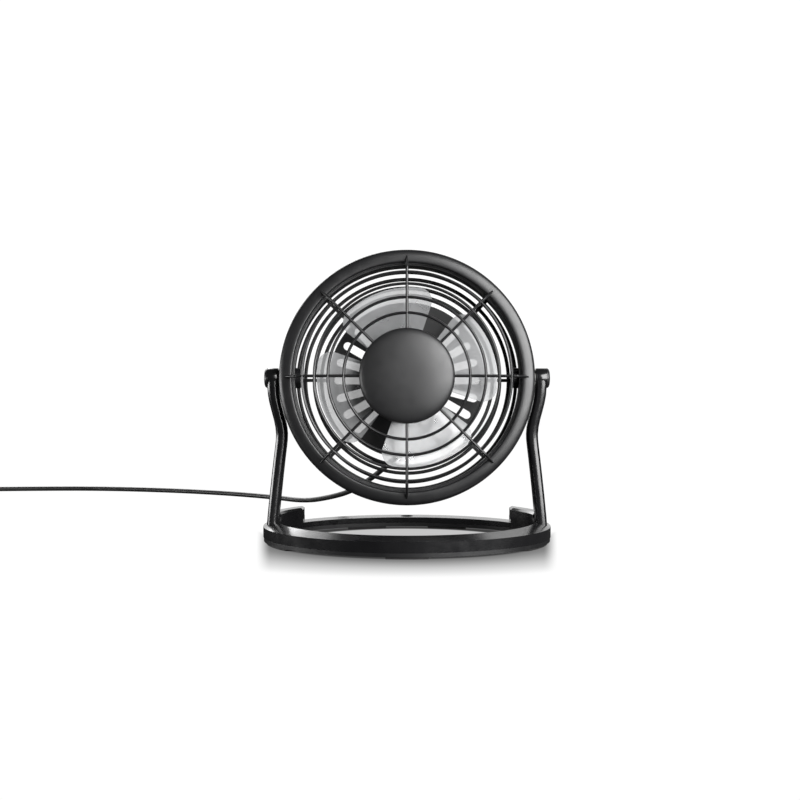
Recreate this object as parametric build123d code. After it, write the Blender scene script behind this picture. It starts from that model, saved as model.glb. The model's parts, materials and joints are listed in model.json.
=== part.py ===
from build123d import *
import math
import os

# USB desk fan. Millimetres. X runs across the fan, Y runs back from the user, Z is up.
# The origin is on the desk, under the middle of the base.
# Pieces of the head are made upright, with their axis on Y and the tilt pivot at the origin,
# and are then turned back by REST_TILT and lifted to PIVOT_Z.

# ---------------------------------------------------------------- driving dimensions
# base
BASE_WIDTH = 147.0
BASE_DEPTH = 106.0
BAND_SIDE = 7.3  # width of the ring's band at its two sides
BAND_FRONT = 10.0  # and at its front and rear
PAD_HEIGHT = 1.2
PAD_LENGTH = 20.5
PAD_INSET = 1.5
PLATE_THICKNESS = 2.1
SHOULDER_Z = 8.6  # top of the ring's upright outer wall
CREST_SIDE_Z = 11.3  # inner edge of the sloped top, at the sides
CREST_FRONT_Z = 10.1  # and at the front
REAR_ARC_Z = 6.2
SHELL_WALL = 1.9
LUG_TOP_Z = 14.0
LUG_LENGTH = 18.5  # from the ring's side towards its middle
LUG_INSET = 0.8
LUG_CHAMFER = 1.1
HANG_HOLE_R = 3.35
BASE_SCREW_ANGLES = (-60.0, -120.0, 40.0, 140.0)

# arms
PIVOT_Z = 84.0
ARM_THICKNESS = 5.8
ARM_EYE_GAP = 0.8  # from the bezel's edge to the arm's eye
ARM_EYE_R = 5.1
ARM_CORNER_R = 1.3
ARM_FOOT_INSET = 4.8  # middle of the foot, in from the ring's side
ARM_FOOT_FRONT = 8.0
ARM_FOOT_REAR = 7.4
ARM_KINK_Z = 53.5
ARM_KINK_INSET = 0.7  # middle of the arm, in from the bezel's edge
ARM_WAIST_Z = 62.7
ARM_WAIST_OUTSET = 0.7  # and out from it
ARM_SHOULDER_Z = 75.0
TENON_THICKNESS = 3.4
TENON_WIDTH = 10.0
TENON_DEPTH = 3.2
CAP_THICKNESS = 1.5
CAP_EDGE_R = 1.1

# head shell
REST_TILT = 6.0
BEZEL_R = 64.4
BEZEL_FRONT_Y = -12.0
BEZEL_REAR_Y = -5.0
BEZEL_FACE_WIDTH = 6.6
BEZEL_LIP_WIDTH = 1.5
BEZEL_LIP_DROP = 1.8
BEZEL_OVERHANG = 3.9  # the bezel's edge beyond the barrel
BARREL_WALL = 1.8
BARREL_REAR_Y = 20.0
GRILLE_THICKNESS = 2.5

# front grille
CAP_R = 23.7
CAP_FRONT_Y = -26.0
CAP_EDGE_Y = -23.4
CAP_REAR_Y = -21.0
FRONT_RING_PLACES = (0.254, 0.512, 0.736, 0.934)  # from the cap's edge to the spokes' bend
RING_WIDTH = 1.5
RING_DEPTH = 2.3
SPOKE_COUNT = 8
SPOKE_WIDTH = 1.5
SPOKE_BEND_INSET = 10.4  # in from the bezel's edge
SPOKE_BEND_Y = -18.4
SPOKE_TIP_INSET = 3.8

# rear grille
REAR_DISC_R = 40.9
REAR_RING_PLACES = (0.219, 0.433, 0.691, 0.9045)  # from the disc's edge to the barrel's wall
REAR_RING_WIDTH = 1.8
REAR_RIB_WIDTH = 1.6
SLOT_STEP = 15.0
SLOTS_EACH_SIDE = 7
SLOT_WIDTH = 4.3
SLOT_INNER_R = 21.5
SLOT_OUTER_R = 36.0

# impeller
BLADE_COUNT = 4
BLADE_TIP_R = 45.4
BLADE_ANGLE = 71.5
BLADE_FIRST = 17.0
BLADE_THICKNESS = 1.3
BLADE_ROOT_SLOPE = 0.55
BLADE_TIP_SLOPE = 0.20
BLADE_CORNER_R = 7.0
BLADE_MID_Y = -5.0
HUB_R = 10.5
HUB_FRONT_Y = -14.0
HUB_REAR_Y = 1.0
HUB_WALL = 1.6
HUB_BOSS_R = 3.0

# motor
SHAFT_R = 1.0
SHAFT_FRONT_Y = -12.5
MOTOR_R = 12.2
MOTOR_FRONT_Y = 8.0
MOTOR_LENGTH = 12.4
CAN_WALL = 0.8
END_BELL_THICKNESS = 1.8
BUSH_R = 3.0
REAR_BUSH_R = 2.6
MAGNET_INNER_R = 9.4
MAGNET_ANGLE = 120.0
CORE_R = 8.8
CORE_LENGTH = 5.0
COMMUTATOR_R = 2.4
CUP_WALL = 2.0
CUP_FLOOR = 2.0
MOTOR_SCREW_X = 7.6

# rear cover and switch
COVER_R = 17.5
COVER_WALL = 2.0
COVER_REAR_Y = 40.0
SWITCH_WIDTH = 10.4
SWITCH_HEIGHT = 14.8
SWITCH_DEPTH = 11.0
FLANGE_THICKNESS = 1.2
FLANGE_MARGIN = 1.1
ROCKER_HALF_WIDTH = 4.1
ROCKER_HALF_HEIGHT = 5.9
ROCKER_THROW = 7.0
ROCKER_PIN_R = 0.8
RELIEF_Y = 31.0
RELIEF_TIP_Z = -24.0

# cord
CORD_DIAMETER = 3.0
COIL_MID_DIAMETER = 33.0
COIL_CENTRE = (-294.3, 209.0)
COIL_ROWS = 3
COIL_LAYERS = 2
TIE_THICKNESS = 0.7
TIE_WIDTH = 6.0

# USB plug
PLUG_RELIEF_LENGTH = 8.0
PLUG_BODY = (20.0, 15.6, 7.6)
PLUG_SHELL = (12.0, 12.0, 4.5)
PLUG_WALL = 0.35

# clearances
RUN_GAP = 0.03  # shaft in its bushes, on radius
PIVOT_GAP = 0.05  # shoulder screw in the arm's eye, on radius
SLIDE_GAP = 0.3  # faces that turn past each other
FIT_GAP = 0.1  # pieces that drop into one another
OVERCUT = 1.0  # how far a cutter runs past the face it opens

# ---------------------------------------------------------------- sizes that follow
HALF_WIDTH = BASE_WIDTH / 2
HALF_DEPTH = BASE_DEPTH / 2
PLATE_TOP_Z = PAD_HEIGHT + PLATE_THICKNESS
LUG_END_X = HALF_WIDTH - LUG_LENGTH
ARM_FOOT_X = HALF_WIDTH - ARM_FOOT_INSET
BEZEL_FACE_INNER_R = BEZEL_R - BEZEL_FACE_WIDTH
BEZEL_LIP_INNER_R = BEZEL_FACE_INNER_R - BEZEL_LIP_WIDTH
BARREL_R = BEZEL_R - BEZEL_OVERHANG
SPOKE_BEND_R = BEZEL_R - SPOKE_BEND_INSET
SPOKE_TIP_R = BEZEL_R - SPOKE_TIP_INSET
ARM_EYE_INNER_X = BEZEL_R + ARM_EYE_GAP
ARM_KINK_X = BEZEL_R - ARM_KINK_INSET
ARM_WAIST_X = BEZEL_R + ARM_WAIST_OUTSET
ARM_EYE_X = ARM_EYE_INNER_X + ARM_THICKNESS / 2
ARM_EYE_OUTER_X = ARM_EYE_INNER_X + ARM_THICKNESS
BARREL_INNER_R = BARREL_R - BARREL_WALL
WASHER_THICKNESS = 1.0
BOSS_FACE_X = ARM_EYE_INNER_X - SLIDE_GAP - WASHER_THICKNESS
BOSS_R = -BEZEL_REAR_Y - 0.5
INNER_BOSS_X = BARREL_INNER_R - 4.6
INNER_BOSS_R = BOSS_R + 0.7
PIVOT_SHOULDER_R = 2.5
PIVOT_HEAD_R = 3.6
PIVOT_HEAD_HEIGHT = 1.2
PIVOT_COUNTERBORE_X = ARM_EYE_OUTER_X - 2.0
PIVOT_THREAD_R = 1.2
DISC_REAR_Y = BARREL_REAR_Y + GRILLE_THICKNESS
MOTOR_REAR_Y = MOTOR_FRONT_Y + MOTOR_LENGTH
CAN_INNER_R = MOTOR_R - CAN_WALL
CORE_FRONT_Y = MOTOR_FRONT_Y + 3.2
SWITCH_FRONT_Y = COVER_REAR_Y - SWITCH_DEPTH
ROCKER_PIVOT_Y = COVER_REAR_Y - 1.8
COIL_HALF_BAND = COIL_ROWS * CORD_DIAMETER / 2
COIL_FLOOR_Z = TIE_THICKNESS + FIT_GAP
COIL_HEIGHT = COIL_LAYERS * CORD_DIAMETER

# The free cord's route, from the strain relief down to the desk and away to the coil.
CORD_ROUTE = [
    (-0.5, 28.2, 56.6),
    (-1.0, 27.6, 49.0),
    (-4.2, 31.0, 42.0),
    (-10.6, 39.2, 35.0),
    (-20.0, 54.0, 25.8),
    (-31.0, 74.5, 16.6),
    (-44.0, 103.5, 9.2),
    (-62.0, 134.0, 2.4),
    (-83.0, 158.5, 1.6),
    (-118.0, 178.5, 1.6),
    (-160.0, 193.0, 1.6),
    (-205.0, 201.0, 1.6),
    (-248.0, 199.5, 1.6),
    (-290.0, 190.0, 2.3),
]

# The short end from the coil to the plug.
TAIL_ROUTE = [
    (-303.5, 187.4, 4.4),
    (-317.0, 191.5, 4.0),
    (-325.0, 203.5, 3.8),
    (-325.6, 215.0, 3.8),
]


# ---------------------------------------------------------------- helpers
def rod_y(radius, y0, y1, x=0.0, z=0.0):
    return Pos(x, (y0 + y1) / 2, z) * Rot(90, 0, 0) * Cylinder(radius, y1 - y0)


def rod_x(radius, x0, x1, y=0.0, z=0.0):
    return Pos((x0 + x1) / 2, y, z) * Rot(0, 90, 0) * Cylinder(radius, x1 - x0)


def rod_z(radius, z0, z1, x=0.0, y=0.0):
    return Pos(x, y, (z0 + z1) / 2) * Cylinder(radius, z1 - z0)


def tube_y(outer, inner, y0, y1):
    return rod_y(outer, y0, y1) - rod_y(inner, y0 - OVERCUT, y1 + OVERCUT)


def block(x0, x1, y0, y1, z0, z1):
    middle = Pos((x0 + x1) / 2, (y0 + y1) / 2, (z0 + z1) / 2)
    return middle * Box(x1 - x0, y1 - y0, z1 - z0)


def turned(points):
    """A solid of revolution about Y, from its (radius, y) outline."""
    outline = make_face(Polyline([(r, y) for r, y in points], close=True))
    return revolve(outline, axis=Axis.Y, revolution_arc=360)


def around_y(shape, angle):
    """Turns a shape made at 3 o'clock counter-clockwise as the user sees it."""
    return Rot(0, -angle, 0) * shape


def both_sides(shape):
    return Compound([shape, mirror(shape, about=Plane.YZ)])


def group(shapes):
    return Compound([solid for shape in shapes for solid in shape.solids()])


def tilted(shape):
    return Pos(0, 0, PIVOT_Z) * Rot(-REST_TILT, 0, 0) * shape


def cross_recess(radius, depth):
    """A cross-head driver recess that opens at Z = 0 and goes down."""
    arm = Pos(0, 0, -depth / 2) * Box(radius * 1.3, radius * 0.32, depth)
    return arm + Rot(0, 0, 90) * arm


def screw(head_r, head_h, shank_r, shank_l):
    """A pan-head screw on Z. Its head sits on Z = 0 and its shank points down."""
    head = Pos(0, 0, head_h / 2) * Cylinder(head_r, head_h)
    head = fillet(head.edges().group_by(Axis.Z)[-1], head_h * 0.4)
    head -= Pos(0, 0, head_h) * cross_recess(head_r, head_h * 0.6)
    return head + Pos(0, 0, -shank_l / 2) * Cylinder(shank_r, shank_l)


# ---------------------------------------------------------------- base
def band(outer_inset=0.0, inner_inset=0.0):
    outer = Ellipse(HALF_WIDTH - outer_inset, HALF_DEPTH - outer_inset)
    inner = Ellipse(HALF_WIDTH - BAND_SIDE + inner_inset, HALF_DEPTH - BAND_FRONT + inner_inset)
    return outer - inner


def base_envelope():
    """The ring's outside: upright wall, top sloping up to the inner edge, thin rear arc."""
    wall = Pos(0, 0, PLATE_TOP_Z) * extrude(Ellipse(HALF_WIDTH, HALF_DEPTH), SHOULDER_Z - PLATE_TOP_Z)
    inner_b = HALF_DEPTH - BAND_FRONT
    slope = math.degrees(math.atan2(CREST_SIDE_Z - CREST_FRONT_Z, inner_b))
    crest = Pos(0, 0, CREST_SIDE_Z) * Rot(slope, 0, 0) * Ellipse(HALF_WIDTH - BAND_SIDE, inner_b)
    top = loft([Pos(0, 0, SHOULDER_Z) * Ellipse(HALF_WIDTH, HALF_DEPTH), crest])
    hole = extrude(Ellipse(HALF_WIDTH - BAND_SIDE, inner_b), LUG_TOP_Z + OVERCUT)
    ring = wall + top - hole
    return ring - block(-LUG_END_X, LUG_END_X, 0, HALF_DEPTH + OVERCUT, REAR_ARC_Z, LUG_TOP_Z + OVERCUT)


def lug():
    """The raised bar behind the right arm's foot."""
    bar = Pos(0, 0, REAR_ARC_Z) * extrude(band(LUG_INSET, 0.0), LUG_TOP_Z - REAR_ARC_Z)
    bar &= block(LUG_END_X, HALF_WIDTH, ARM_FOOT_REAR, HALF_DEPTH, 0, LUG_TOP_Z)
    return chamfer(bar.edges().group_by(Axis.Z)[-1], LUG_CHAMFER)


def tenon(gap=0.0):
    top = CREST_SIDE_Z
    return block(
        ARM_FOOT_X - TENON_THICKNESS / 2 - gap,
        ARM_FOOT_X + TENON_THICKNESS / 2 + gap,
        -TENON_WIDTH / 2 - gap,
        TENON_WIDTH / 2 + gap,
        SHOULDER_Z - TENON_DEPTH - gap,
        top,
    )


def band_middle(angle):
    """A point on the middle of the band, at an angle from +X seen from above."""
    a = HALF_WIDTH - BAND_SIDE / 2
    b = HALF_DEPTH - BAND_FRONT / 2
    return a * math.cos(math.radians(angle)), b * math.sin(math.radians(angle))


def base_ring():
    ring = base_envelope() + both_sides(lug())
    channel = Pos(0, 0, PLATE_TOP_Z) * extrude(
        band(SHELL_WALL, SHELL_WALL), SHOULDER_Z - SHELL_WALL - PLATE_TOP_Z
    )
    channel &= block(-HALF_WIDTH, HALF_WIDTH, -HALF_DEPTH, LUG_END_X * 0.5, 0, LUG_TOP_Z)
    channel -= both_sides(block(ARM_FOOT_X - 8, HALF_WIDTH, -8, 8, 0, LUG_TOP_Z))
    for angle in BASE_SCREW_ANGLES:
        x, y = band_middle(angle)
        channel -= rod_z(3.2, 0, LUG_TOP_Z, x, y)
        ring -= rod_z(1.2, 0, PLATE_TOP_Z + 2.4, x, y)
    ring -= channel
    ring -= both_sides(tenon(FIT_GAP))
    ring -= both_sides(rod_z(1.4, 0, SHOULDER_Z, ARM_FOOT_X, 0))
    return ring - hang_hole()


def hang_hole():
    return rod_z(HANG_HOLE_R, 0, LUG_TOP_Z, 0, HALF_DEPTH - BAND_FRONT / 2)


def base_plate():
    plate = Pos(0, 0, PAD_HEIGHT) * extrude(band(FIT_GAP * 3, FIT_GAP * 3), PLATE_THICKNESS)
    for x, y, _ in base_screw_places():
        plate -= rod_z(1.4, 0, PLATE_TOP_Z + OVERCUT, x, y)
        plate -= rod_z(2.3, 0, PAD_HEIGHT + 1.0, x, y)
    return plate - hang_hole()


def base_screw_places():
    """Each screw's place, and how far it reaches into the ring or the arm's tenon."""
    places = [(*band_middle(angle), 3.2) for angle in BASE_SCREW_ANGLES]
    return places + [(ARM_FOOT_X, 0.0, 5.4), (-ARM_FOOT_X, 0.0, 5.4)]


def base_screws(only_arms):
    made = []
    for x, y, length in base_screw_places():
        if (y == 0.0) == only_arms:
            one = Rot(180, 0, 0) * screw(2.1, 0.9, 1.15, length)
            made.append(Pos(x, y, PAD_HEIGHT + 1.0) * one)
    return group(made)


def rubber_pads():
    pad_band = extrude(band(PAD_INSET, PAD_INSET), PAD_HEIGHT)
    half = PAD_LENGTH / 2
    front = pad_band & block(-half, half, -HALF_DEPTH, 0, 0, PAD_HEIGHT)
    side = pad_band & block(0, HALF_WIDTH, -8 - PAD_LENGTH, -8, 0, PAD_HEIGHT)
    rear = pad_band & block(HANG_HOLE_R + 8, HANG_HOLE_R + 8 + PAD_LENGTH, 0, HALF_DEPTH, 0, PAD_HEIGHT)
    return group([front, both_sides(side), both_sides(rear)])


# ---------------------------------------------------------------- arms and pivots
def arm_section(z, x, front, rear):
    width = front + rear
    return Pos(x, (rear - front) / 2, z) * RectangleRounded(ARM_THICKNESS, width, ARM_CORNER_R)


def arm():
    """The right arm, from its foot on the ring to the eye round the pivot."""
    sections = [
        arm_section(SHOULDER_Z - 1.0, ARM_FOOT_X, ARM_FOOT_FRONT, ARM_FOOT_REAR),
        arm_section(ARM_KINK_Z, ARM_KINK_X, ARM_EYE_R, ARM_EYE_R),
        arm_section(ARM_WAIST_Z, ARM_WAIST_X, ARM_EYE_R, ARM_EYE_R),
        arm_section(ARM_SHOULDER_Z, ARM_EYE_X, ARM_EYE_R, ARM_EYE_R),
        arm_section(PIVOT_Z, ARM_EYE_X, ARM_EYE_R, ARM_EYE_R),
    ]
    bar = loft(sections, ruled=True)
    eye = rod_x(ARM_EYE_R, ARM_EYE_INNER_X, ARM_EYE_OUTER_X, 0, PIVOT_Z)
    bar = bar + eye - base_envelope() + tenon()
    bar -= block(0, HALF_WIDTH, -HALF_DEPTH, HALF_DEPTH, 0, SHOULDER_Z - TENON_DEPTH)
    bar -= rod_x(PIVOT_SHOULDER_R + PIVOT_GAP, ARM_EYE_INNER_X - 1, ARM_EYE_OUTER_X + 1, 0, PIVOT_Z)
    bar -= rod_x(PIVOT_HEAD_R + SLIDE_GAP, PIVOT_COUNTERBORE_X, ARM_EYE_OUTER_X + 1, 0, PIVOT_Z)
    return bar - rod_z(1.15, 0, SHOULDER_Z, ARM_FOOT_X, 0)


def pivot_cap():
    """The right knob, which plugs the eye's counterbore."""
    outer = ARM_EYE_OUTER_X + CAP_THICKNESS
    disc = rod_x(ARM_EYE_R, ARM_EYE_OUTER_X, outer, 0, PIVOT_Z)
    disc = fillet(disc.edges().group_by(Axis.X)[-1], CAP_EDGE_R)
    spigot_x = PIVOT_COUNTERBORE_X + 0.2 + PIVOT_HEAD_HEIGHT + SLIDE_GAP
    return disc + rod_x(PIVOT_HEAD_R + SLIDE_GAP - FIT_GAP, spigot_x, ARM_EYE_OUTER_X + 0.1, 0, PIVOT_Z)


def pivot_screw():
    """The right shoulder screw, in head coordinates."""
    seat = PIVOT_COUNTERBORE_X + 0.2
    head = rod_x(PIVOT_HEAD_R, seat, seat + PIVOT_HEAD_HEIGHT)
    head -= Pos(seat + PIVOT_HEAD_HEIGHT, 0, 0) * Rot(0, 90, 0) * cross_recess(PIVOT_HEAD_R, 0.7)
    shoulder = rod_x(PIVOT_SHOULDER_R, BOSS_FACE_X, seat)
    return head + shoulder + rod_x(PIVOT_THREAD_R, BOSS_FACE_X - 6.0, BOSS_FACE_X)


def pivot_washer():
    ring = rod_x(BOSS_R, BOSS_FACE_X, BOSS_FACE_X + WASHER_THICKNESS)
    return ring - rod_x(PIVOT_SHOULDER_R + FIT_GAP, BOSS_FACE_X - 1, BOSS_FACE_X + WASHER_THICKNESS + 1)


# ---------------------------------------------------------------- head shell
def bezel():
    lip_y = BEZEL_FRONT_Y + BEZEL_LIP_DROP
    spigot_r = BARREL_INNER_R - FIT_GAP
    ring = turned(
        [
            (BEZEL_LIP_INNER_R, BEZEL_REAR_Y + 2.5),
            (BEZEL_LIP_INNER_R, lip_y),
            (BEZEL_FACE_INNER_R - 0.9, lip_y),
            (BEZEL_FACE_INNER_R - 0.9, BEZEL_FRONT_Y + 0.9),
            (BEZEL_FACE_INNER_R, BEZEL_FRONT_Y),
            (BEZEL_R, BEZEL_FRONT_Y),
            (BEZEL_R, BEZEL_REAR_Y),
            (spigot_r, BEZEL_REAR_Y),
            (spigot_r, BEZEL_REAR_Y + 2.5),
        ]
    )
    circles = ring.edges().filter_by(GeomType.CIRCLE)
    rims = circles.filter_by(lambda e: abs(e.radius - BEZEL_R) < 0.01)
    ring = fillet(rims.group_by(Axis.Y)[0], 1.3)
    return ring - both_sides(rod_x(INNER_BOSS_R + FIT_GAP, INNER_BOSS_X, BARREL_INNER_R + 0.3))


def pivot_boss():
    """The right pivot boss, outside and inside the barrel wall."""
    outer = rod_x(BOSS_R, BARREL_INNER_R + 0.2, BOSS_FACE_X)
    inner = rod_x(INNER_BOSS_R, INNER_BOSS_X, BARREL_INNER_R + 0.2)
    return outer + inner


def barrel():
    shell = tube_y(BARREL_R, BARREL_INNER_R, BEZEL_REAR_Y, BARREL_REAR_Y)
    shell += both_sides(pivot_boss())
    return shell - both_sides(rod_x(PIVOT_THREAD_R + FIT_GAP, INNER_BOSS_X + 1.0, BOSS_FACE_X + 1))


def grille_ring(radius, width, depth, y):
    section = Pos(radius, y) * RectangleRounded(width, depth, width * 0.35)
    return revolve(section, axis=Axis.Y, revolution_arc=360)


def dome_y(radius):
    """Middle of the front grille's bars at a radius: a shallow dome from the cap to the bend."""
    share = (radius - CAP_R) / (SPOKE_BEND_R - CAP_R)
    start = CAP_REAR_Y + RING_DEPTH / 2 + FIT_GAP
    return start + (SPOKE_BEND_Y - start) * share**2


def front_spoke():
    half = RING_DEPTH / 2
    inner, bend = CAP_R - 3.0, SPOKE_BEND_R
    middle = (inner + bend) / 2
    front = ThreePointArc(
        (inner, dome_y(CAP_R) - half), (middle, dome_y(middle) - half), (bend, SPOKE_BEND_Y - half)
    )
    back = ThreePointArc(
        (bend - 0.8, SPOKE_BEND_Y + half), (middle, dome_y(middle) + half), (inner, dome_y(CAP_R) + half)
    )
    tip = Polyline(
        front @ 1,
        (SPOKE_TIP_R - 2.6, BEZEL_FRONT_Y - 3.0),
        (SPOKE_TIP_R, BEZEL_FRONT_Y - 0.5),
        (SPOKE_TIP_R, BEZEL_FRONT_Y),
        (BEZEL_FACE_INNER_R - 1.0, BEZEL_FRONT_Y),
        back @ 0,
    )
    outline = make_face([front, tip, back, Line(back @ 1, front @ 0)])
    return extrude(outline, SPOKE_WIDTH / 2, both=True)


def front_grille():
    grille = tube_y(CAP_R - 1.6, 6.0, CAP_REAR_Y, CAP_REAR_Y + 2.0)
    for place in FRONT_RING_PLACES:
        radius = CAP_R + place * (SPOKE_BEND_R - CAP_R)
        grille += grille_ring(radius, RING_WIDTH, RING_DEPTH, dome_y(radius))
    for k in range(SPOKE_COUNT):
        grille += around_y(front_spoke(), k * 360.0 / SPOKE_COUNT)
    return grille


def centre_cap():
    """The domed disc over the hub, with a spigot that snaps into the grille."""
    face = ThreePointArc(
        (0, CAP_FRONT_Y), (CAP_R * 0.55, CAP_FRONT_Y + 0.62), (CAP_R - 1.6, CAP_EDGE_Y - 0.5)
    )
    rim = ThreePointArc(face @ 1, (CAP_R - 0.4, CAP_EDGE_Y + 0.25), (CAP_R, CAP_EDGE_Y + 1.2))
    spigot_r = 6.0 - FIT_GAP
    back = Polyline(rim @ 1, (CAP_R, CAP_REAR_Y), (spigot_r, CAP_REAR_Y), (spigot_r, -19.4), (0, -19.4))
    outline = make_face([face, rim, back, Line((0, -19.4), (0, CAP_FRONT_Y))])
    return revolve(outline, axis=Axis.Y, revolution_arc=360)


def rear_slot():
    front, rear, half = BARREL_REAR_Y - 1, DISC_REAR_Y + 1, SLOT_WIDTH / 2
    cutter = block(SLOT_INNER_R, SLOT_OUTER_R, front, rear, -half, half)
    return cutter + rod_y(half, front, rear, SLOT_INNER_R) + rod_y(half, front, rear, SLOT_OUTER_R)


def rear_grille():
    """Slotted disc, rings and ribs, the rim on the barrel, and the motor's cup."""
    grille = rod_y(REAR_DISC_R, BARREL_REAR_Y, DISC_REAR_Y)
    first = -SLOT_STEP * (SLOTS_EACH_SIDE - 1) / 2
    for side in (0.0, 180.0):
        for k in range(SLOTS_EACH_SIDE):
            grille -= around_y(rear_slot(), side + first + k * SLOT_STEP)
    middle = BARREL_REAR_Y + GRILLE_THICKNESS / 2
    for place in REAR_RING_PLACES:
        radius = REAR_DISC_R + place * (BARREL_INNER_R - REAR_DISC_R)
        grille += grille_ring(radius, REAR_RING_WIDTH, GRILLE_THICKNESS, middle)
    half = REAR_RIB_WIDTH / 2
    rib = block(REAR_DISC_R - 1, BARREL_R - 0.8, BARREL_REAR_Y, DISC_REAR_Y, -half, half)
    for k in range(SPOKE_COUNT):
        grille += around_y(rib, k * 360.0 / SPOKE_COUNT)
    rim = tube_y(BARREL_R, BARREL_R - 1.5, BARREL_REAR_Y, DISC_REAR_Y)
    grille += fillet(rim.edges().group_by(Axis.Y)[-1].sort_by(SortBy.RADIUS)[-1], 1.0)
    cup_r = MOTOR_R + FIT_GAP + CUP_WALL
    grille += rod_y(cup_r, MOTOR_FRONT_Y - CUP_FLOOR, BARREL_REAR_Y + 1)
    grille -= rod_y(MOTOR_R + FIT_GAP, MOTOR_FRONT_Y, DISC_REAR_Y + 1)
    grille -= rod_y(BUSH_R + SLIDE_GAP, MOTOR_FRONT_Y - CUP_FLOOR - 1, MOTOR_FRONT_Y + 1)
    grille -= both_sides(rod_y(1.1, MOTOR_FRONT_Y - CUP_FLOOR - 1, MOTOR_FRONT_Y + 1, MOTOR_SCREW_X))
    return grille - both_sides(rod_y(0.9, BARREL_REAR_Y + 0.8, DISC_REAR_Y + 1, cover_screw_x()))


def cover_screw_x():
    return MOTOR_R + FIT_GAP + CUP_WALL + 0.4


# ---------------------------------------------------------------- impeller
def blade():
    """A broad twisted blade at 3 o'clock, cut from a ruled plate by a round-cornered sector."""
    near, far = HUB_R - 2.0, BLADE_TIP_R + 3.0
    reach = BLADE_TIP_R * 0.75

    def bar(x, slope):
        half = BLADE_THICKNESS / 2
        corners = [
            (x, -reach * slope - half, -reach),
            (x, -reach * slope + half, -reach),
            (x, reach * slope + half, reach),
            (x, reach * slope - half, reach),
        ]
        return make_face(Polyline(corners, close=True))

    plate = loft([bar(near, BLADE_ROOT_SLOPE), bar(far, BLADE_TIP_SLOPE)], ruled=True)
    half_angle = math.radians(BLADE_ANGLE / 2)
    lead = (BLADE_TIP_R * math.cos(half_angle), BLADE_TIP_R * math.sin(half_angle))
    trail = (lead[0], -lead[1])
    sector = make_face(
        [
            Line((0, 0), trail),
            ThreePointArc(trail, (BLADE_TIP_R, 0), lead),
            Line(lead, (0, 0)),
        ]
    )
    sector = fillet(sector.vertices().filter_by(lambda v: v.X > 1), BLADE_CORNER_R)
    cutter = Rot(90, 0, 0) * extrude(sector, 40, both=True)
    return Pos(0, BLADE_MID_Y, 0) * (plate & cutter)


def impeller():
    """Hub cup and blades, one moulding."""
    hub = rod_y(HUB_R, HUB_FRONT_Y, HUB_REAR_Y)
    hub = fillet(hub.edges().group_by(Axis.Y)[0], 3.0)
    for k in range(BLADE_COUNT):
        hub += around_y(blade(), BLADE_FIRST + k * 360.0 / BLADE_COUNT)
    hub -= rod_y(HUB_R - HUB_WALL, HUB_FRONT_Y + 3.2, HUB_REAR_Y + 20)
    hub += rod_y(HUB_BOSS_R, HUB_FRONT_Y + 3.0, HUB_REAR_Y)
    return hub - rod_y(SHAFT_R, SHAFT_FRONT_Y, HUB_REAR_Y + 20)


# ---------------------------------------------------------------- motor
def shaft():
    return rod_y(SHAFT_R, SHAFT_FRONT_Y, MOTOR_REAR_Y + 0.6)


def motor_can():
    can = tube_y(MOTOR_R, CAN_INNER_R, MOTOR_FRONT_Y, MOTOR_REAR_Y)
    can += tube_y(MOTOR_R - 0.2, BUSH_R, MOTOR_FRONT_Y, MOTOR_FRONT_Y + CAN_WALL)
    return can - both_sides(rod_y(1.1, MOTOR_FRONT_Y - 1, MOTOR_FRONT_Y + 1, MOTOR_SCREW_X))


def end_bell():
    disc = tube_y(CAN_INNER_R - 0.05, REAR_BUSH_R, MOTOR_REAR_Y - END_BELL_THICKNESS, MOTOR_REAR_Y)
    slot = block(5.4, 6.6, MOTOR_REAR_Y - 3, MOTOR_REAR_Y + 1, -1.6, 1.6)
    return disc - both_sides(slot)


def magnets():
    rear = MOTOR_REAR_Y - END_BELL_THICKNESS - 1.0
    ring = tube_y(CAN_INNER_R - 0.1, MAGNET_INNER_R, MOTOR_FRONT_Y + 2.2, rear)
    half = math.radians(MAGNET_ANGLE / 2)
    reach = MOTOR_R * 2
    wedge = make_face(
        Polyline(
            (0, 0),
            (reach * math.cos(half), -reach * math.sin(half)),
            (reach * math.cos(half), reach * math.sin(half)),
            close=True,
        )
    )
    return both_sides(ring & (Rot(90, 0, 0) * extrude(wedge, 40, both=True)))


def front_bush():
    return tube_y(BUSH_R, SHAFT_R + RUN_GAP, MOTOR_FRONT_Y - 1.5, MOTOR_FRONT_Y + 1.8)


def rear_bush():
    return tube_y(REAR_BUSH_R, SHAFT_R + RUN_GAP, MOTOR_REAR_Y - END_BELL_THICKNESS, MOTOR_REAR_Y + 0.8)


def pole(shape, k):
    return around_y(shape, 90.0 + 120.0 * k)


def armature_core():
    y0, y1 = CORE_FRONT_Y, CORE_FRONT_Y + CORE_LENGTH
    core = rod_y(3.2, y0, y1)
    tips = tube_y(CORE_R, CORE_R - 1.5, y0, y1)
    for k in range(3):
        core += pole(block(2.0, CORE_R - 0.6, y0, y1, -1.2, 1.2), k)
        tips -= around_y(block(0, CORE_R + 2, y0 - 1, y1 + 1, -0.8, 0.8), 30.0 + 120.0 * k)
    return core + tips - rod_y(SHAFT_R, y0 - 1, y1 + 1)


def windings():
    y0, y1 = CORE_FRONT_Y - 0.9, CORE_FRONT_Y + CORE_LENGTH + 0.9
    coil = block(3.9, CORE_R - 2.4, y0, y1, -2.6, 2.6)
    coil = fillet(coil.edges().filter_by(Axis.X), 0.7)
    gap = FIT_GAP / 2
    coil -= block(3.0, CORE_R, CORE_FRONT_Y - gap, CORE_FRONT_Y + CORE_LENGTH + gap, -1.2 - gap, 1.2 + gap)
    return group([pole(coil, k) for k in range(3)])


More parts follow.
